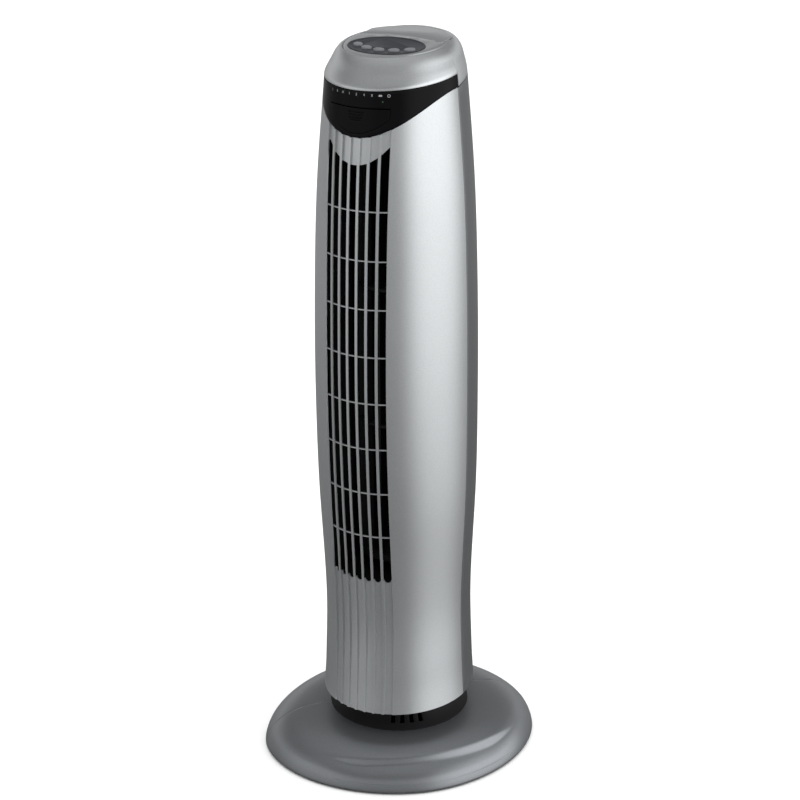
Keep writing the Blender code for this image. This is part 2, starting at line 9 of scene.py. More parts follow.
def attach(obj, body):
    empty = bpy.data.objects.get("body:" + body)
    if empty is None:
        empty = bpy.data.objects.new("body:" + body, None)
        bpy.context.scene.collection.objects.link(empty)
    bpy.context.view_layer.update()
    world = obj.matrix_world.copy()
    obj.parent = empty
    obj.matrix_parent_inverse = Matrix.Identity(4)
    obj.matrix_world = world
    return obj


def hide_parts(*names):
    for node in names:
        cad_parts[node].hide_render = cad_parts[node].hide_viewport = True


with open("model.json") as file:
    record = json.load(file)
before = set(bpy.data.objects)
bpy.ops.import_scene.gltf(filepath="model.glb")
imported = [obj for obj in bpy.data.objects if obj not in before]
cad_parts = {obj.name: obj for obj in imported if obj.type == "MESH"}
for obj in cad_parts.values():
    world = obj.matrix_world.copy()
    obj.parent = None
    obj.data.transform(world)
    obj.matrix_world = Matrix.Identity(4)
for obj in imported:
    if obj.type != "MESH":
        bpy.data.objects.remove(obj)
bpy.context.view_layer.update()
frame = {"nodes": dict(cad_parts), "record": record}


# === Camera, floor and lights =====================================================================
# A standing eye looks down on the fan from the front, a little to the +X side. The floor is flat
# and white, and the room's own brightness lights the fan, with one wide lamp overhead.
EYE = Vector((1.0413, -1.8571, 1.2477))
LOOK_DOWN = math.radians(20.7775)
LOOK_TURN = math.radians(29.28 - 0.0756)
EYE_ROLL = math.radians(-0.3105)
LENS = 94.495
FRAME_SHIFT = -0.03125

camera = bpy.data.objects.new("camera", bpy.data.cameras.new("camera"))
bpy.context.scene.collection.objects.link(camera)
camera.data.lens = LENS
camera.data.sensor_width = 36.0
camera.data.shift_y = FRAME_SHIFT
camera.data.clip_end = 50
turn = Matrix.Rotation(LOOK_TURN, 4, "Z") @ Matrix.Rotation(math.pi / 2 - LOOK_DOWN, 4, "X")
camera.matrix_world = Matrix.Translation(EYE) @ turn @ Matrix.Rotation(EYE_ROLL, 4, "Z")
bpy.context.scene.camera = camera


def node_setup(mat):
    """Clears a node tree; returns its shader, a function that adds nodes and one that links."""
    mat.use_nodes = True
    tree = mat.node_tree
    tree.nodes.clear()
    shader = tree.nodes.new("ShaderNodeBsdfPrincipled")
    output = tree.nodes.new("ShaderNodeOutputMaterial")
    tree.links.new(shader.outputs[0], output.inputs["Surface"])

    def add(kind, **values):
        node = tree.nodes.new("ShaderNode" + kind)
        for key, value in values.items():
            if hasattr(node, key):
                setattr(node, key, value)
            else:
                node.inputs[key.replace("_", " ")].default_value = value
        return node

    return shader, add, tree.links.new


def deselect():
    bpy.ops.object.select_all(action="DESELECT")


floor_mat = bpy.data.materials.new("studio_floor")
shader, add, link = node_setup(floor_mat)
shader.inputs["Base Color"].default_value = (0.93, 0.93, 0.93, 1)
shader.inputs["Roughness"].default_value = 0.8
shader.inputs["Specular IOR Level"].default_value = 0.1
deselect()
bpy.ops.mesh.primitive_plane_add(size=14, location=(0, 0, -0.0005))
floor = bpy.context.object
floor.name = "studio_floor"
floor.data.materials.append(floor_mat)

# The lacquer mirrors the room and not the bright floor, which also lets the room's light through.
floor.visible_glossy = False
floor.visible_shadow = False
bpy.context.scene.view_settings.view_transform = "Standard"

# The room is a dim grey tent, pale a little above eye level and dark over that, with one tall
# bright wall on the +X side and a weaker one in front, to -X. Both walls fade downwards.
SKY_BY_HEIGHT = (
    # height from straight down (0) to straight up (1), brightness
    (0.0, 0.05), (0.24, 0.09), (0.30, 0.15), (0.37, 0.30), (0.44, 0.32),
    (0.60, 0.66), (0.75, 0.08), (0.90, 0.34), (1.0, 0.44),
)
WALL_CORE = 0.96
WALL_FADE = (-0.50, -0.22)
WALLS = (
    # bearing from the front, half angle, strength at eye level, strength 30 degrees below it
    (99, 54, 1.42, 0.42),
    (-32, 44, 0.26, 0.10),
)
world = bpy.data.worlds.new("studio")
bpy.context.scene.world = world
world.use_nodes = True
tree = world.node_tree
background = tree.nodes["Background"]
direction = tree.nodes.new("ShaderNodeTexCoord").outputs["Generated"]


def world_node(kind, operation, *sources):
    node = tree.nodes.new("ShaderNode" + kind)
    if operation:
        node.operation = operation
    for socket, source in zip(node.inputs, sources):
        if isinstance(source, (int, float, tuple)):
            socket.default_value = source
        else:
            tree.links.new(source, socket)
    return node


split = tree.nodes.new("ShaderNodeSeparateXYZ")
tree.links.new(direction, split.inputs[0])
height = world_node("Math", "MULTIPLY_ADD", split.outputs["Z"], 0.5, 0.5).outputs[0]
ramp = tree.nodes.new("ShaderNodeValToRGB")
ramp.color_ramp.interpolation = "EASE"
while len(ramp.color_ramp.elements) < len(SKY_BY_HEIGHT):
    ramp.color_ramp.elements.new(0.5)
for stop, (place, level) in zip(ramp.color_ramp.elements, SKY_BY_HEIGHT):
    stop.position = place
    stop.color = (level, level, level, 1)
tree.links.new(height, ramp.inputs["Fac"])
total = ramp.outputs["Color"]
for bearing, half_angle, level, low_level in WALLS:
    a = math.radians(bearing)
    outward = (math.sin(a), -math.cos(a), 0.0)
    toward = world_node("VectorMath", "DOT_PRODUCT", direction, outward).outputs["Value"]
    wall = tree.nodes.new("ShaderNodeMapRange")
    wall.interpolation_type = "SMOOTHSTEP"
    tree.links.new(toward, wall.inputs["Value"])
    wall.inputs["From Min"].default_value = math.cos(math.radians(half_angle))
    wall.inputs["From Max"].default_value = WALL_CORE
    fade = tree.nodes.new("ShaderNodeMapRange")
    tree.links.new(split.outputs["Z"], fade.inputs["Value"])
    fade.inputs["From Min"].default_value = WALL_FADE[0]
    fade.inputs["From Max"].default_value = WALL_FADE[1]
    fade.inputs["To Min"].default_value = low_level
    fade.inputs["To Max"].default_value = level
    glow = world_node("Math", "MULTIPLY", wall.outputs[0], fade.outputs[0]).outputs[0]
    total = world_node("VectorMath", "ADD", total, glow).outputs[0]
tree.links.new(total, background.inputs["Color"])

# A wide overhead lamp evens out the floor.
data = bpy.data.lights.new("overhead", "SUN")
data.energy = 3.1
data.angle = math.radians(110)
overhead = bpy.data.objects.new("overhead", data)
bpy.context.scene.collection.objects.link(overhead)
overhead.visible_glossy = False


# === Finishes shared by the painted pieces ========================================================
# Satin silver lacquer with a fine metal flake, sprayed on moulded plastic. The flake shows as a
# faint grain in colour, gloss and relief.
def flake_paint(name, color, metallic, rough, flake=1600.0, relief=0.02, coat=0.25):
    mat = bpy.data.materials.new(name)
    shader, add, link = node_setup(mat)
    coords = add("TexCoord")
    grain = add("TexNoise", Scale=flake, Detail=2.0)
    drift = add("TexNoise", Scale=9.0, Detail=3.0)
    for noise in (grain, drift):
        link(coords.outputs["Object"], noise.inputs["Vector"])
    tint = add("ValToRGB")
    tint.color_ramp.elements[0].position = 0.30
    tint.color_ramp.elements[0].color = (*[c * 0.88 for c in color], 1)
    tint.color_ramp.elements[1].position = 0.70
    tint.color_ramp.elements[1].color = (*[min(c * 1.10, 1) for c in color], 1)
    link(grain.outputs["Fac"], tint.inputs["Fac"])
    link(tint.outputs["Color"], shader.inputs["Base Color"])
    spread = add("MapRange", To_Min=rough - 0.035, To_Max=rough + 0.035)
    link(drift.outputs["Fac"], spread.inputs["Value"])
    link(spread.outputs["Result"], shader.inputs["Roughness"])
    bump = add("Bump", Strength=relief, Distance=0.0002)
    link(grain.outputs["Fac"], bump.inputs["Height"])
    link(bump.outputs["Normal"], shader.inputs["Normal"])
    shader.inputs["Metallic"].default_value = metallic
    shader.inputs["Coat Weight"].default_value = coat
    shader.inputs["Coat Roughness"].default_value = 0.25
    return mat


def moulded(name, color, rough, grain_size=2200.0, relief=0.10, spec=0.5, metallic=0.0):
    """Moulded plastic, rubber or metal with a fine spark-eroded grain."""
    mat = bpy.data.materials.new(name)
    shader, add, link = node_setup(mat)
    coords = add("TexCoord")
    grain = add("TexNoise", Scale=grain_size, Detail=3.0)
    drift = add("TexNoise", Scale=14.0, Detail=4.0)
    for noise in (grain, drift):
        link(coords.outputs["Object"], noise.inputs["Vector"])
    tint = add("ValToRGB")
    tint.color_ramp.elements[0].position = 0.25
    tint.color_ramp.elements[0].color = (*[c * 0.85 for c in color], 1)
    tint.color_ramp.elements[1].position = 0.75
    tint.color_ramp.elements[1].color = (*[min(c * 1.12, 1) for c in color], 1)
    link(drift.outputs["Fac"], tint.inputs["Fac"])
    link(tint.outputs["Color"], shader.inputs["Base Color"])
    spread = add("MapRange", To_Min=rough * 0.88, To_Max=min(rough * 1.12, 1.0))
    link(grain.outputs["Fac"], spread.inputs["Value"])
    link(spread.outputs["Result"], shader.inputs["Roughness"])
    bump = add("Bump", Strength=relief, Distance=0.0002)
    link(grain.outputs["Fac"], bump.inputs["Height"])
    link(bump.outputs["Normal"], shader.inputs["Normal"])
    shader.inputs["Metallic"].default_value = metallic
    shader.inputs["Specular IOR Level"].default_value = spec
    return mat


silver_paint = flake_paint("silver_paint", (0.56, 0.58, 0.59), 0.85, 0.33)
base_paint = flake_paint("base_paint", (0.235, 0.247, 0.260), 0.80, 0.34)


# === Front shell ==================================================================================
# The front half of the tower, a painted moulding. Seven tall slots let the air out; each slot
# runs on as a shallow flute to both ends of the shell, and the thin ribs between stay proud.
SHELL_BOTTOM = 0.0709
WALL = 0.0012
DEPTH_FRONT = 1.104
DEPTH_REAR = 1.12
WIDTHS = (
    # height, half width of the tower there
    (0.040, 0.0850), (0.071, 0.0828), (0.105, 0.0808), (0.190, 0.0790), (0.320, 0.0842),
    (0.430, 0.0852), (0.540, 0.0842), (0.650, 0.0806), (0.760, 0.0724), (0.820, 0.0670),
)


def half_width(z):
    """Half width of the tower at a height, on a smooth curve through the stations."""
    z = min(max(z, WIDTHS[1][0]), WIDTHS[-2][0] + 0.05)
    k = 1
    while k < len(WIDTHS) - 3 and z > WIDTHS[k + 1][0]:
        k += 1
    (z0, w0), (z1, w1), (z2, w2), (z3, w3) = WIDTHS[k - 1:k + 3]
    t = (z - z1) / (z2 - z1)
    m1 = (w2 - w0) / (z2 - z0) * (z2 - z1)
    m2 = (w3 - w1) / (z3 - z1) * (z2 - z1)
    return (
        (2 * t**3 - 3 * t**2 + 1) * w1 + (t**3 - 2 * t**2 + t) * m1
        + (3 * t**2 - 2 * t**3) * w2 + (t**3 - t**2) * m2
    )


FRONT_BULGE = ((0.14, -0.0010), (0.25, 0.0), (0.46, 0.0040), (0.68, 0.0026), (0.78, 0.0008))
REAR_BULGE = ((0.60, 0.0), (0.77, 0.0028))


def ease(t):
    """Soft step from 0 to 1."""
    t = min(max(t, 0.0), 1.0)
    return t * t * (3 - 2 * t)


def bulge(stations, z):
    """Extra depth at a height, eased from one station to the next."""
    if z <= stations[0][0]:
        return stations[0][1]
    for (z0, b0), (z1, b1) in zip(stations, stations[1:]):
        if z <= z1:
            return b0 + (b1 - b0) * ease((z - z0) / (z1 - z0))
    return stations[-1][1]


def tower_point(z, turn, inset=0.0):
    """Point of the tower's outside at a height; turn is from the front, positive to +X."""
    if math.cos(turn) > 0:
        depth = DEPTH_FRONT * half_width(z) + bulge(FRONT_BULGE, z)
    else:
        depth = DEPTH_REAR * half_width(z) + bulge(REAR_BULGE, z)
    return Vector(((half_width(z) - inset) * math.sin(turn), -(depth - inset) * math.cos(turn), z))


BAND_BOTTOM = 0.7230
BAND_SWEEP = 0.0420
BAND_TOP = 0.7700
BAND_LIFT = 0.0080


def band_low(turn):
    """Lower edge of the display band, which sweeps up towards the sides."""
    return BAND_BOTTOM + BAND_SWEEP * math.sin(turn) ** 2


def band_high(turn):
    return BAND_TOP + BAND_LIFT * (1 - math.cos(turn))


def spread_over(first, last, count):
    return [first + (last - first) * k / (count - 1) for k in range(count)]


def shaped_grid(name, columns, rows, place, closed=False):
    """A grid primitive whose crossing of column c and row r is pulled to place(c, r)."""
    deselect()
    across, up = len(columns) - 1, len(rows) - 1
    bpy.ops.mesh.primitive_grid_add(x_subdivisions=across, y_subdivisions=up, size=1)
    obj = bpy.context.object
    obj.name = obj.data.name = name
    for v in obj.data.vertices:
        i, j = round((v.co.x + 0.5) * across), round((v.co.y + 0.5) * up)
        v.co = place(columns[i], rows[j])
    if closed:
        bpy.ops.object.mode_set(mode="EDIT")
        bpy.ops.mesh.select_all(action="SELECT")
        bpy.ops.mesh.remove_doubles(threshold=0.00001)
        bpy.ops.object.mode_set(mode="OBJECT")
    return obj


def drop_cells(obj, across, opened):
    """Deletes the cells of a shaped grid for which opened(column, row) holds."""
    bpy.ops.object.mode_set(mode="EDIT")
    bpy.ops.mesh.select_mode(type="FACE")
    bpy.ops.mesh.select_all(action="DESELECT")
    bpy.ops.object.mode_set(mode="OBJECT")
    for face in obj.data.polygons:
        face.select = opened(face.index % across, face.index // across)
    bpy.ops.object.mode_set(mode="EDIT")
    bpy.ops.mesh.delete(type="FACE")
    bpy.ops.object.mode_set(mode="OBJECT")


def apply_all(obj):
    bpy.context.view_layer.objects.active = obj
    for mod in list(obj.modifiers):
        bpy.ops.object.modifier_apply(modifier=mod.name)


def finish_shell(obj, wall, edge=0.0004, offset=-1.0, angle=38.0, segments=2):
    """Gives a skin its wall, breaks its sharp edges and smooths the rest."""
    if wall:
        thick = obj.modifiers.new("wall", "SOLIDIFY")
        thick.thickness = wall
        thick.offset = offset
        thick.use_even_offset = True
    if edge:
        bevel = obj.modifiers.new("edge", "BEVEL")
        bevel.width = edge
        bevel.segments = segments
        bevel.limit_method = "ANGLE"
        bevel.angle_limit = math.radians(angle)
        bevel.use_clamp_overlap = True
    apply_all(obj)
    deselect()
    obj.select_set(True)
    bpy.context.view_layer.objects.active = obj
    bpy.ops.object.shade_smooth_by_angle(angle=math.radians(angle))


def dress(obj, mat, body, slot, *nodes):
    """Paints a finished piece, ties it to its body and lets it stand for its solids."""
    obj.data.materials.clear()
    obj.data.materials.append(mat)
    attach(obj, body)
    if nodes:
        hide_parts(*nodes)


SLOTS = 7
SLOT_WIDTH = 0.0079
SLOT_PITCH = 0.0107
FLUTE_DEPTH = 0.0023
FLUTE_DRAFT = 0.0003
LEDGE = 0.0002
SLOT_BOTTOM = 0.2310
SLOT_RADIUS = 0.0038
SLOT_TOP = 0.6948
SLOT_TOP_SWEEP = 0.084
SLOT_TOP_WIDTH = half_width(0.70)
FLUTE_MOUTH = 0.0012
GRILLE_EDGE = (SLOTS - 1) / 2 * SLOT_PITCH + SLOT_WIDTH / 2
SHELL_END = math.radians(89.8)
SEAM = 0.0005

# Columns of the skin from left to right. A slot takes six: a rib's edge, the flute's floor, both
# sides of the mouth, and the same two in reverse.
SIDE_COLUMNS = 24
SLOT_COLUMNS = 6
columns = [("side", -1, k / SIDE_COLUMNS) for k in range(SIDE_COLUMNS)]
for k in range(SLOTS):
    middle = (k - (SLOTS - 1) / 2) * SLOT_PITCH
    columns.append(("rib", middle - SLOT_WIDTH / 2, 0))
    columns.append(("flute", middle - SLOT_WIDTH / 2 + FLUTE_DRAFT, 0))
    columns.append(("mouth", middle, -1))
    columns.append(("mouth", middle, 1))
    columns.append(("flute", middle + SLOT_WIDTH / 2 - FLUTE_DRAFT, 0))
    columns.append(("rib", middle + SLOT_WIDTH / 2, 0))
columns += [("side", 1, k / SIDE_COLUMNS) for k in reversed(range(SIDE_COLUMNS))]

# Rows from the shell's foot to its top: below the slots, their round ends, the slots, above them.
rows = [("z", z) for z in spread_over(SHELL_BOTTOM, SLOT_BOTTOM - 0.004, 16)]
first_open = len(rows)
rows += [("round", a) for a in (0, 12, 30, 48, 66, 90)]
first_straight = len(rows) - 1
rows += [("slot", t) for t in spread_over(0.0, 1.0, 44)[1:]]
last_open = len(rows) - 1
rows += [("top", t) for t in spread_over(0.0, 1.0, 7)[1:]]


def slot_top(turn):
    """Height where the slots end, along an arc that rises towards the sides."""
    bend = min(abs(turn), math.asin(GRILLE_EDGE / SLOT_TOP_WIDTH))
    return SLOT_TOP + SLOT_TOP_SWEEP * bend * bend


def front_point(column, row):
    kind, a, share = column
    form, t = row
    half_mouth = SLOT_WIDTH / 2 - FLUTE_DRAFT - LEDGE
    if form == "round":
        half_mouth = max(half_mouth - SLOT_RADIUS * (1 - math.sin(math.radians(t))), 0.0004)
    elif form in ("z", "top"):
        half_mouth = FLUTE_MOUTH
    x = a if kind in ("rib", "flute") else a + share * half_mouth
    z = t if form == "z" else SLOT_BOTTOM + SLOT_RADIUS * (1 - math.cos(math.radians(t)))
    # The turn depends on the height and the height on the turn, so both settle in a few rounds.
    for _ in range(5):
        if kind == "side":
            start = math.asin(GRILLE_EDGE / half_width(z))
            turn = a * (SHELL_END + (start - SHELL_END) * share)
        else:
            turn = math.asin(x / half_width(z))
        low = SLOT_BOTTOM + SLOT_RADIUS
        top, edge = slot_top(turn), band_low(turn) - SEAM
        if form == "slot":
            z = low + (top - low) * t
        elif form == "top":
            z = top + (edge - top) * t
    depth = FLUTE_DEPTH * (0.5 + 0.5 * ease((z - 0.075) / 0.10))
    return tower_point(z, turn, depth if kind in ("flute", "mouth") else 0.0)


front = shaped_grid("front_shell_skin", columns, rows, front_point)


def slot_cell(column, row):
    """True where a slot is open: all its cells, and only its mouth along the round end."""
    in_grille = SIDE_COLUMNS <= column < SIDE_COLUMNS + SLOT_COLUMNS * SLOTS
    if not (in_grille and first_open <= row < last_open):
        return False
    part = (column - SIDE_COLUMNS) % SLOT_COLUMNS
    return part == 2 or (part < SLOT_COLUMNS - 1 and row >= first_straight)


drop_cells(front, len(columns) - 1, slot_cell)
finish_shell(front, WALL, 0, angle=40)
dress(front, silver_paint, "tower", "silver_paint", "front_shell")

# Eight thin moulded cross bars tie the ribs together, just behind the ribs' faces.
BAR_HEIGHT = 0.0015
BAR_TOP = 0.6484
BAR_PITCH = 0.0517
bars = []
for k in range(8):
    z = BAR_TOP - BAR_PITCH * k
    reach = math.asin((GRILLE_EDGE + 0.0008) / half_width(z))
    bar = shaped_grid(
        f"cross_bar_{k + 1}", spread_over(-reach, reach, 31), (-1, 1),
        lambda turn, side, z=z: tower_point(z + side * BAR_HEIGHT / 2, turn, 0.0011),
    )
    finish_shell(bar, 0.0022, 0.0004, angle=60)
    bars.append(bar)
deselect()
for bar in bars:
    bar.select_set(True)
bpy.context.view_layer.objects.active = bars[0]
bpy.ops.object.join()
bars[0].name = bars[0].data.name = "cross_bars"
dress(bars[0], silver_paint, "tower", "silver_paint")


# === Rear shell ===================================================================================
# The back half of the tower, a dark moulding with a wide intake of fine level louvres.
rear_grey = flake_paint("rear_grey", (0.17, 0.175, 0.18), 0.75, 0.36)
LOUVRES = 44
INTAKE_BOTTOM = 0.250
INTAKE_HEIGHT = 0.440
LOUVRE_GAP = 0.0058
louvre_edges = []
for k in range(LOUVRES):
    middle = INTAKE_BOTTOM + INTAKE_HEIGHT * (k + 0.5) / LOUVRES
    louvre_edges += [middle - LOUVRE_GAP / 2, middle + LOUVRE_GAP / 2]
rows = spread_over(SHELL_BOTTOM, 0.235, 14)
first_louvre = len(rows)
rows += louvre_edges + [0.703, 0.716, 0.730, 0.744, 0.756, "top"]
half_turns = [90.2, 92.3, 95, 98, 102, 106, 110, 114, 118, 122, 125, 129.5, 134, 138.5, 143, 147,
              151.5, 156, 160.5, 165, 169, 174.5]
degrees = half_turns + [180.0] + [360 - a for a in reversed(half_turns)]
columns = [math.radians(a) for a in degrees]
INTAKE_SIDES = (125, 235)
POSTS = (143, 165, 191, 213)
louvre_columns = {
    k for k, a in enumerate(degrees[:-1]) if INTAKE_SIDES[0] <= a < INTAKE_SIDES[1] and a not in POSTS
}
REAR_START = math.radians(92)


def rear_edge(turn):
    """Upper edge of the rear shell, which climbs from the band's ends to the back."""
    past = (abs(turn) - REAR_START) / (math.pi - REAR_START)
    return 0.7655 + 0.0145 * math.sin(math.pi / 2 * max(past, 0.0))


def rear_point(turn, z):
    inner = turn if turn <= math.pi else turn - math.tau
    if z == "top":
        z = (rear_edge(inner) if abs(inner) > math.radians(93) else band_low(inner)) - SEAM
    return tower_point(z, turn)


rear = shaped_grid("rear_shell_skin", columns, rows, rear_point)


def louvre_cell(column, row):
    inside = first_louvre <= row < first_louvre + 2 * LOUVRES
    return inside and (row - first_louvre) % 2 == 0 and column in louvre_columns


drop_cells(rear, len(columns) - 1, louvre_cell)
finish_shell(rear, 0.0022, 0.0004, angle=50)
dress(rear, rear_grey, "tower", "rear_grey", "rear_shell")


# === Shade sheet behind the intake ================================================================
# Thin black sheet behind the intake louvres, painted shade that keeps the inside of the tower dark.
# The near-black colour of this sheet is painted shade for the dark space behind the louvres.
painted_shade_black = moulded("painted_intake_shade", (0.010, 0.010, 0.011), 0.90, 700.0, 0.50, spec=0.1)
SHADE_SHEET_EDGE = math.radians(62)
SHADE_SHEET_INSET = 0.0042


def shade_sheet_point(turn, z):
    return tower_point(z, turn, SHADE_SHEET_INSET)


turns = spread_over(math.pi - SHADE_SHEET_EDGE, math.pi + SHADE_SHEET_EDGE, 49)
sheet = shaped_grid("intake_shade_sheet", turns, spread_over(0.222, 0.708, 17), shade_sheet_point)
finish_shell(sheet, 0.0008, 0, angle=40)
dress(sheet, painted_shade_black, "tower", "matte_black")


# === Base =========================================================================================
# Two painted half covers meet on a straight seam behind the middle. The front one has a crescent
# step, where the raised middle drops to a rolled rim.
BASE_TURN = math.radians(45.0)
BASE_HOLE = 0.0700
BASE_HALF_LENGTH = 0.1562
BASE_DEPTH_FRONT = 0.1392
BASE_DEPTH_REAR = 0.1305
RIM_SQUARENESS = 1.9
BASE_SEAM_Y = 0.012
BASE_SEAM_GAP = 0.0005
BASE_PROFILE = (
    # share of the way from the hole to the rim, height
    (0.00, 0.0450), (0.12, 0.0448), (0.36, 0.0438), (0.56, 0.0410), (0.72, 0.0358),
    (0.84, 0.0285), (0.92, 0.0209), (0.965, 0.0140), (0.990, 0.0080), (1.00, 0.0035),
    (0.992, 0.0016),
)
CRESCENT_RADIUS = 0.160
CRESCENT_APEX = 0.1195
CRESCENT_TIP = 0.118
CRESCENT_FADE = 0.045
CRESCENT_SWELL = 0.0014
CRESCENT_DROP = 0.0048
CRESCENT_RISE = 0.0022


def through(points, t):
    """Smooth curve through (x, z) points at parameter t from 0 to 1."""
    last = len(points) - 1
    k = min(int(t * last), last - 1)
    u = t * last - k
    p0, p1, p2, p3 = (points[min(max(i, 0), last)] for i in (k - 1, k, k + 1, k + 2))
    return tuple(
        0.5 * (2 * b + (c - a) * u
               + (2 * a - 5 * b + 4 * c - d) * u**2 + (3 * b - a - 3 * c + d) * u**3)
        for a, b, c, d in zip(p0, p1, p2, p3)
    )


def base_point(angle, t):
    share, z = through(BASE_PROFILE, 1.0 - t)
    c, s = abs(math.cos(angle)), abs(math.sin(angle))
    depth = BASE_DEPTH_FRONT if math.sin(angle) < 0 else BASE_DEPTH_REAR
    n = RIM_SQUARENESS
    reach = ((c / BASE_HALF_LENGTH) ** n + (s / depth) ** n) ** (-1 / n)
    r = BASE_HOLE + (reach - BASE_HOLE) * share
    x, y = r * math.cos(angle), r * math.sin(angle)
    if z > 0.012 and y < 0.02:
        past = math.hypot(x, y - (CRESCENT_RADIUS - CRESCENT_APEX)) - CRESCENT_RADIUS
        fade = ease((CRESCENT_TIP - abs(x)) / CRESCENT_FADE)
        width = 0.0022 + 0.0022 * fade
        swell = CRESCENT_SWELL * ease((past + 0.040) / 0.040)
        drop = CRESCENT_DROP * ease(past / width)
        rise = CRESCENT_RISE * ease((past - width) / 0.014)
        z += fade * (swell - drop + rise)
    return Vector((x, y, z))


for title, side in (("front", -1), ("rear", 1)):
    angles = spread_over(0, math.tau, 241)
    half = shaped_grid(f"base_{title}_cover", angles, spread_over(0, 1, 90), base_point, closed=True)
    seam = (0, BASE_SEAM_Y + side * BASE_SEAM_GAP / 2, 0)
    bpy.ops.object.mode_set(mode="EDIT")
    bpy.ops.mesh.select_all(action="SELECT")
    bpy.ops.mesh.bisect(plane_co=seam, plane_no=(0, side, 0), clear_inner=True)
    bpy.ops.object.mode_set(mode="OBJECT")
    half.data.transform(Matrix.Rotation(BASE_TURN, 4, "Z"))
    finish_shell(half, 0.0020, 0.0003, angle=50)
    dress(half, base_paint, "stand", "base_paint", "base_" + title)


# === Neck =========================================================================================
# Black collar that flares on to the base, with four upright vents in its front.
matte_black = moulded("matte_black", (0.010, 0.010, 0.011), 0.55, spec=0.15)
NECK_PROFILE = (
    # radius, height
    (0.0785, 0.0452), (0.0748, 0.0474), (0.0710, 0.0505), (0.0675, 0.0544), (0.0645, 0.0598),
    (0.0628, 0.0650), (0.0600, 0.0670), (0.0560, 0.0671),
)
VENTS = 4
VENT_PITCH = math.radians(8.7)
VENT_HALF = math.radians(2.0)
VENT_ROWS = (6, 14)
columns = []
for k in range(VENTS):
    middle = -math.pi / 2 + VENT_PITCH * (k - (VENTS + 1) / 2)
    columns += [middle - VENT_HALF, middle + VENT_HALF]
columns += spread_over(columns[-1], columns[0] + math.tau, 84)[1:]


def neck_point(angle, t):
    r, z = through(NECK_PROFILE, t)
    return Vector((r * math.cos(angle), r * math.sin(angle), z))


def vent_cell(column, row):
    return VENT_ROWS[0] <= row < VENT_ROWS[1] and column < 2 * VENTS and column % 2 == 0


neck = shaped_grid("neck_collar", columns, spread_over(0, 1, 22), neck_point, closed=True)
drop_cells(neck, len(columns) - 1, vent_cell)
neck.data.transform(Matrix.Rotation(BASE_TURN, 4, "Z"))
finish_shell(neck, 0.0016, 0.0003, angle=45)
dress(neck, matte_black, "stand", "matte_black", "neck")


# === Cap ==========================================================================================
# Painted cap. Its front leans back to a soft crease round the top, and its back rounds over. It has
# an oval window for the control panel and a wider one for the docked remote.
PLATEAU_Z = 0.8055
PLATEAU_SLOPE = 0.08
BAND_END = math.radians(91.5)
CAP_FRONT = (
    # inset from the tower's outside, height
    (0.0000, 0.7740), (0.0022, 0.7780), (0.0048, 0.7832), (0.0078, 0.7890), (0.0112, 0.7945),
    (0.0142, 0.7982), (0.0163, 0.8001), (0.0176, 0.8003), (0.0186, 0.7996), (0.0198, 0.8002),
    (0.0225, 0.8008),
)
CAP_BACK = (
    (0.0000, 0.7830), (0.0002, 0.7870), (0.0007, 0.7915), (0.0018, 0.7960), (0.0038, 0.8010),
    (0.0065, 0.8048), (0.0095, 0.8072), (0.0120, 0.8083), (0.0145, 0.8089), (0.0175, 0.8094),
    (0.0235, 0.8098),
)


def plateau(y):
    return PLATEAU_Z + PLATEAU_SLOPE * y


CAP_LEVEL = 0.7850
LIP_HEIGHT = 0.0016
LIP_GAP = 0.0004
CREASE_AT = 0.80
CREASE_DEPTH = 0.0019
CREASE_SPAN = 0.08
SKIRT_END = 0.30


def cap_point(turn, row):
    """Point of the cap: an upright lip, the wall up to the top's edge, then the flat top."""
    form, t = row
    inner = turn if turn <= math.pi else turn - math.tau
    low = (band_high(inner) if abs(inner) < BAND_END else rear_edge(inner)) + LIP_GAP
    weight = (1 + math.cos(inner)) / 2
    if form == "lip":
        return tower_point(low + LIP_HEIGHT * t, turn)
    inset_f, z_f = through(CAP_FRONT, t if form == "wall" else 1.0)
    inset_b, z_b = through(CAP_BACK, t if form == "wall" else 1.0)
    inset = inset_f * weight + inset_b * (1 - weight)
    z = z_f * weight + z_b * (1 - weight)
    at = tower_point(CAP_LEVEL, turn, inset + 0.0008 * ease(t * 4 if form == "wall" else 1))
    if form == "wall":
        level = ease((t - CREASE_AT) / (1 - CREASE_AT))
        near_crease = max(0.0, 1 - abs(t - CREASE_AT) / CREASE_SPAN)
        groove = CREASE_DEPTH * ease((weight - 0.25) / 0.3) * near_crease
        z = z * (1 - level) + plateau(at.y) * level - groove
        if t < SKIRT_END:
            skirt = tower_point(low + LIP_HEIGHT, turn)
            start = ease(t / SKIRT_END)
            end_z = (through(CAP_FRONT, SKIRT_END)[1] * weight
                     + through(CAP_BACK, SKIRT_END)[1] * (1 - weight))
            z_line = skirt.z + (end_z - skirt.z) * t / SKIRT_END
            side = tower_point(z_line, turn, inset)
            near = Vector((side.x, side.y, z_line)) * (1 - start)
            return near + Vector((at.x, at.y, z_line)) * start
        return Vector((at.x, at.y, z))
    x, y = at.x * t, at.y * t
    return Vector((x, y, plateau(y)))


half_turns = [0, 2.5] + spread_over(5, 88, 30) + [90.0, 91.3, 91.7] + spread_over(93.5, 177, 30)
columns = [math.radians(a) for a in half_turns + [180.0] + [360 - a for a in reversed(half_turns)]]
rows = [("lip", 0.0), ("lip", 1.0)] + [("wall", t) for t in spread_over(0, 1, 44)[1:]]
rows += [("top", t) for t in (0.93, 0.8, 0.5, 0.25, 0.0)]
cap = shaped_grid("cap_skin", columns, rows, cap_point, closed=True)


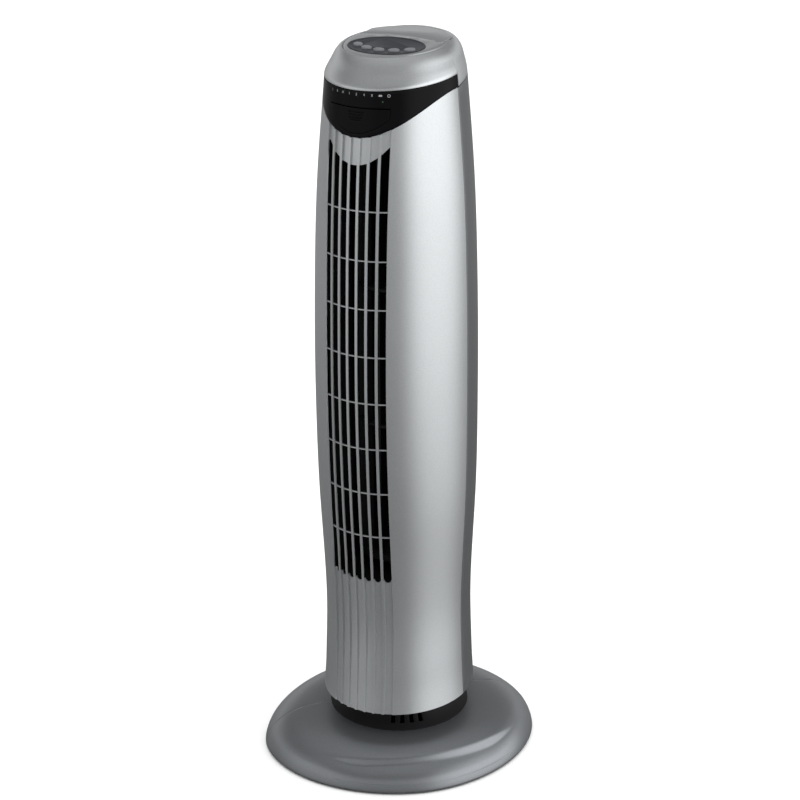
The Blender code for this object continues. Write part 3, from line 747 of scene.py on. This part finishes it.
def slab(name, outline, low, high, slope=0.0):
    """A flat plate on an outline: a filled ring of points, pulled up to its thickness."""
    deselect()
    bpy.ops.mesh.primitive_circle_add(vertices=len(outline), radius=1, fill_type="NGON")
    obj = bpy.context.object
    obj.name = obj.data.name = name
    for v, (x, y) in zip(obj.data.vertices, outline):
        v.co = (x, y, low + slope * y)
    bpy.ops.object.mode_set(mode="EDIT")
    bpy.ops.mesh.select_all(action="SELECT")
    bpy.ops.mesh.extrude_region_move(TRANSFORM_OT_translate={"value": (0, 0, high - low)})
    bpy.ops.mesh.select_all(action="SELECT")
    bpy.ops.mesh.normals_make_consistent(inside=False)
    bpy.ops.object.mode_set(mode="OBJECT")
    return obj


def cut_with(obj, cutter):
    mod = obj.modifiers.new("cut", "BOOLEAN")
    mod.operation = "DIFFERENCE"
    mod.solver = "EXACT"
    mod.object = cutter
    bpy.context.view_layer.objects.active = obj
    bpy.ops.object.modifier_apply(modifier=mod.name)
    bpy.data.objects.remove(cutter, do_unlink=True)


PANEL_Y = -0.0190
PANEL_HALF_LENGTH = 0.0422
PANEL_HALF_DEPTH = 0.0308
REMOTE_HALF_LENGTH = 0.0475


def panel_outline(margin, count=96):
    turns = [math.tau * k / count for k in range(count)]
    long, deep = PANEL_HALF_LENGTH + margin, PANEL_HALF_DEPTH + margin
    return [(long * math.cos(t), PANEL_Y + deep * math.sin(t)) for t in turns]


def remote_outline(margin, count=40):
    """Plan of the docked remote: its near side follows the panel, its far side the cap."""
    xs = spread_over(-REMOTE_HALF_LENGTH - margin, REMOTE_HALF_LENGTH + margin, count)
    near = [(x, 0.0200 - 0.0080 * (x / REMOTE_HALF_LENGTH) ** 2 - margin) for x in xs]
    far = [(x, 0.0575 * math.sqrt(1 - (x / 0.0590) ** 2) + margin) for x in reversed(xs)]
    return near + far


thick = cap.modifiers.new("wall", "SOLIDIFY")
thick.thickness = 0.0022
thick.offset = -1
apply_all(cap)
cut_with(cap, slab("panel_window", panel_outline(0.0003), 0.79, 0.83))
cut_with(cap, slab("remote_window", remote_outline(0.0008), 0.79, 0.83))
# A shallow scoop beside the remote lets a finger lift it.
SCOOP_AT = (0.0440, 0.0150, 0.8085)
SCOOP_RADII = (0.0070, 0.0050, 0.0032)
deselect()
bpy.ops.mesh.primitive_uv_sphere_add(segments=48, ring_count=24, radius=1, location=SCOOP_AT)
scoop = bpy.context.object
scoop.scale = SCOOP_RADII
cut_with(cap, scoop)
finish_shell(cap, 0, 0.0002, angle=40)
dress(cap, silver_paint, "tower", "silver_paint", "top_cap")


# === Display band and flap ========================================================================
# Gloss black strip round the front under the cap, with a D-shaped flap that tilts out of it.
gloss_black = moulded("gloss_black", (0.003, 0.003, 0.0035), 0.12, 300.0, 0.01, spec=0.08)
FLAP_REACH = math.radians(26.5)
FLAP_TOP = 0.7525
FLAP_BOTTOM = 0.7275
FLAP_RISE = 0.0152
FLAP_RADIUS = 0.0765
BAND_WALL = 0.0020
end = math.radians(91.0)


def band_point(turn, share):
    low, high = band_low(turn) + 0.0003, band_high(turn) - 0.0003
    return tower_point(low + (high - low) * share, turn)


turns = spread_over(-end, end, 121)
band = shaped_grid("display_band_skin", turns, spread_over(0, 1, 13), band_point)


def flap_floor(turn):
    return FLAP_BOTTOM + FLAP_RISE * (turn / FLAP_REACH) ** 2


def flap_frame(margin, top_gap):
    """Outline of the flap's window, seen from the front and laid flat."""
    reach = FLAP_REACH + margin / 0.078
    steps = spread_over(-reach, reach, 41)
    lower = [(FLAP_RADIUS * math.sin(a), -flap_floor(a) + margin) for a in steps]
    return lower + [(FLAP_RADIUS * math.sin(a), -FLAP_TOP - top_gap) for a in reversed(steps)]


thick = band.modifiers.new("wall", "SOLIDIFY")
thick.thickness = BAND_WALL
thick.offset = -1
apply_all(band)
window = slab("flap_window", flap_frame(0.0004, 0.0012), 0.05, 0.11)
window.data.transform(Matrix.Rotation(-math.pi / 2, 4, "X") @ Matrix.Scale(-1, 4, (0, 0, 1)))
bpy.ops.object.mode_set(mode="EDIT")
bpy.ops.mesh.select_all(action="SELECT")
bpy.ops.mesh.normals_make_consistent(inside=False)
bpy.ops.object.mode_set(mode="OBJECT")
cut_with(band, window)
finish_shell(band, 0, 0.0002, angle=40)
dress(band, gloss_black, "tower", "gloss_black", "display_band")

# Four short grooves in the flap give the finger a grip: height and half length of each.
GRIPS = ((0.7486, 0.0095), (0.7458, 0.0088), (0.7430, 0.0078), (0.7407, 0.0065))
GRIP_DEPTH = 0.0007
rows = [FLAP_BOTTOM, 0.7305, 0.7335, 0.7365, 0.7385]
for grip, _ in reversed(GRIPS):
    rows += [grip - 0.0007, grip - 0.0003, grip + 0.0003, grip + 0.0007]
rows += [0.7505, 0.7516, FLAP_TOP]


def flap_point(turn, z):
    x = FLAP_RADIUS * math.sin(turn)
    grooved = any(abs(z - grip) < 0.0005 and abs(x) < half for grip, half in GRIPS)
    dip = GRIP_DEPTH if grooved else 0.0
    share = (z - FLAP_BOTTOM) / (FLAP_TOP - FLAP_BOTTOM)
    z = flap_floor(turn) + (FLAP_TOP - flap_floor(turn)) * share
    return tower_point(z, math.asin(x / half_width(z)), dip)


flap = shaped_grid("front_flap_skin", spread_over(-FLAP_REACH, FLAP_REACH, 65), rows, flap_point)
finish_shell(flap, 0.0019, 0.0003, angle=45)
dress(flap, gloss_black, "flap", "gloss_black", "front_flap")

# Pale printed marks along the band's top: three speeds, four times, a lamp bar and a ring.
print_ink = moulded("print_ink", (0.30, 0.31, 0.33), 0.5)
lamp_green = moulded("lamp_green", (0.012, 0.055, 0.022), 0.3)
MARKS = ("I", "II", "III", "1", "2", "4", "8", "bar", "ring")
MARK_PITCH = math.radians(6.70)
MARK_HEIGHT = 0.7665
INK_PROUD = 0.00022
marks = []
for k, sign in enumerate(MARKS):
    at = MARK_PITCH * (k - (len(MARKS) - 1) / 2)
    deselect()
    if sign == "bar":
        bpy.ops.mesh.primitive_grid_add(x_subdivisions=4, y_subdivisions=2, size=0.0034)
        bpy.context.object.scale.y = 0.53
    elif sign == "ring":
        bpy.ops.mesh.primitive_circle_add(vertices=24, radius=0.0016, fill_type="NGON")
        bpy.ops.object.mode_set(mode="EDIT")
        bpy.ops.mesh.select_all(action="SELECT")
        bpy.ops.mesh.inset(thickness=0.0006)
        bpy.ops.mesh.delete(type="FACE")
        bpy.ops.object.mode_set(mode="OBJECT")
    else:
        bpy.ops.object.text_add()
        bpy.context.object.data.body = sign
        bpy.context.object.data.size = 0.0036
        bpy.context.object.data.align_x = "CENTER"
        bpy.context.object.data.align_y = "CENTER"
        bpy.ops.object.convert(target="MESH")
    mark = bpy.context.object
    bpy.ops.object.transform_apply(location=True, rotation=True, scale=True)
    for v in mark.data.vertices:
        z = MARK_HEIGHT + v.co.y
        v.co = tower_point(z, at + math.asin(v.co.x / half_width(z)), -INK_PROUD)
    marks.append(mark)
deselect()
for mark in marks:
    mark.select_set(True)
bpy.context.view_layer.objects.active = marks[0]
bpy.ops.object.join()
marks[0].name = marks[0].data.name = "band_marks"
dress(marks[0], print_ink, "tower", "gloss_black")

# One small green lamp under the marks.
LAMP_HEIGHT = 0.7605
LAMP_TURN = math.radians(22)
deselect()
bpy.ops.mesh.primitive_circle_add(vertices=20, radius=0.0009, fill_type="NGON")
led = bpy.context.object
led.name = led.data.name = "indicator_lamp"
for v in led.data.vertices:
    z = LAMP_HEIGHT + v.co.y
    v.co = tower_point(z, LAMP_TURN + math.asin(v.co.x / half_width(z)), -INK_PROUD)
finish_shell(led, 0.0002, 0, offset=1.0)
dress(led, lamp_green, "tower", "gloss_black")


# === Control panel and buttons ====================================================================
# Charcoal oval let into the cap, with a thin raised lip, and five soft grey keys in an arc.
charcoal = moulded("charcoal", (0.030, 0.032, 0.037), 0.42, 3000.0, 0.06, spec=0.25)
button_grey = moulded("button_grey", (0.15, 0.155, 0.165), 0.40)
BUTTONS = 5
BUTTON_STEP = math.radians(18.5)
BUTTON_ARC = 0.050
BUTTON_Y = -0.0345
KEY_HALF_LENGTH = 0.0060
KEY_HALF_WIDTH = 0.0047


def button_spot(k):
    """Centre of a key on its arc, and its turn."""
    turn = BUTTON_STEP * (k - (BUTTONS - 1) / 2)
    return BUTTON_ARC * math.sin(turn), BUTTON_Y + BUTTON_ARC * (1 - math.cos(turn)), turn


def button_outline(k, margin, count=40):
    x0, y0, turn = button_spot(k)
    c, s = math.cos(turn), math.sin(turn)
    outline = []
    for i in range(count):
        t = math.tau * i / count
        x, y = (KEY_HALF_LENGTH + margin) * math.cos(t), (KEY_HALF_WIDTH + margin) * math.sin(t)
        outline.append((x0 + x * c - y * s, y0 + x * s + y * c))
    return outline


def top_face(obj):
    """Selects the highest face of a slab, in edit mode."""
    bpy.context.view_layer.objects.active = obj
    bpy.ops.object.mode_set(mode="EDIT")
    bpy.ops.mesh.select_mode(type="FACE")
    bpy.ops.mesh.select_all(action="DESELECT")
    bpy.ops.object.mode_set(mode="OBJECT")
    best = max(obj.data.polygons, key=lambda f: f.center.z + f.normal.z)
    best.select = True
    bpy.ops.object.mode_set(mode="EDIT")


low, high = PLATEAU_Z - 0.0026, PLATEAU_Z + 0.0004
panel = slab("control_panel_oval", panel_outline(0.0), low, high, PLATEAU_SLOPE)
top_face(panel)
bpy.ops.mesh.inset(thickness=0.0010)
bpy.ops.transform.translate(value=(0, 0, 0.0002))
bpy.ops.mesh.inset(thickness=0.0007)
bpy.ops.transform.translate(value=(0, 0, -0.0008))
bpy.ops.object.mode_set(mode="OBJECT")
for k in range(BUTTONS):
    cut_with(panel, slab(f"key_hole_{k + 1}", button_outline(k, 0.0004), 0.79, 0.82))
finish_shell(panel, 0, 0.0002, angle=35)
dress(panel, charcoal, "tower", "charcoal", "control_panel")

for k in range(BUTTONS):
    low, high = PLATEAU_Z - 0.0048, PLATEAU_Z + 0.0006
    key = slab(f"key_{k + 1}", button_outline(k, 0.0), low, high, PLATEAU_SLOPE)
    top_face(key)
    for inset, rise in ((0.0005, 0.00045), (0.0008, 0.00035), (0.0011, 0.00020), (0.0012, 0.00006)):
        bpy.ops.mesh.inset(thickness=inset)
        bpy.ops.transform.translate(value=(0, 0, rise))
    bpy.ops.object.mode_set(mode="OBJECT")
    finish_shell(key, 0, 0, angle=50)
    dress(key, button_grey, f"button_{k + 1}", "button_grey", f"button_{k + 1}")


# === Remote control ===============================================================================
# Plain silver slab that lies face down in the cap, flush with it.
low, high = PLATEAU_Z - 0.0085, PLATEAU_Z + 0.0001
remote = slab("remote_body", remote_outline(0.0), low, high, PLATEAU_SLOPE)
finish_shell(remote, 0, 0.0006, angle=40, segments=3)
dress(remote, silver_paint, "remote", "silver_paint", "remote_control")


# === Remaining solids =============================================================================
# The pieces inside and under the fan keep their solids and only take a finish.
finishes = {
    "silver_paint": silver_paint,
    "base_paint": base_paint,
    "rear_grey": rear_grey,
    "gloss_black": gloss_black,
    "matte_black": matte_black,
    "charcoal": charcoal,
    "button_grey": button_grey,
    "rubber": moulded("rubber", (0.022, 0.022, 0.022), 0.80, 900.0, 0.25),
    "steel": moulded("steel", (0.55, 0.55, 0.56), 0.32, 700.0, 0.04, metallic=1.0),
    "circuit_board": moulded("circuit_board", (0.03, 0.14, 0.06), 0.45),
    "nylon": moulded("nylon", (0.74, 0.73, 0.68), 0.50),
    "felt": moulded("felt", (0.50, 0.48, 0.43), 0.95, 1200.0, 0.8),
}
slot_of = {part["node"]: part["material_slot"] for part in frame["record"]["subparts"]}
for name, obj in frame["nodes"].items():
    obj.data.materials.clear()
    obj.data.materials.append(finishes[slot_of[name]])
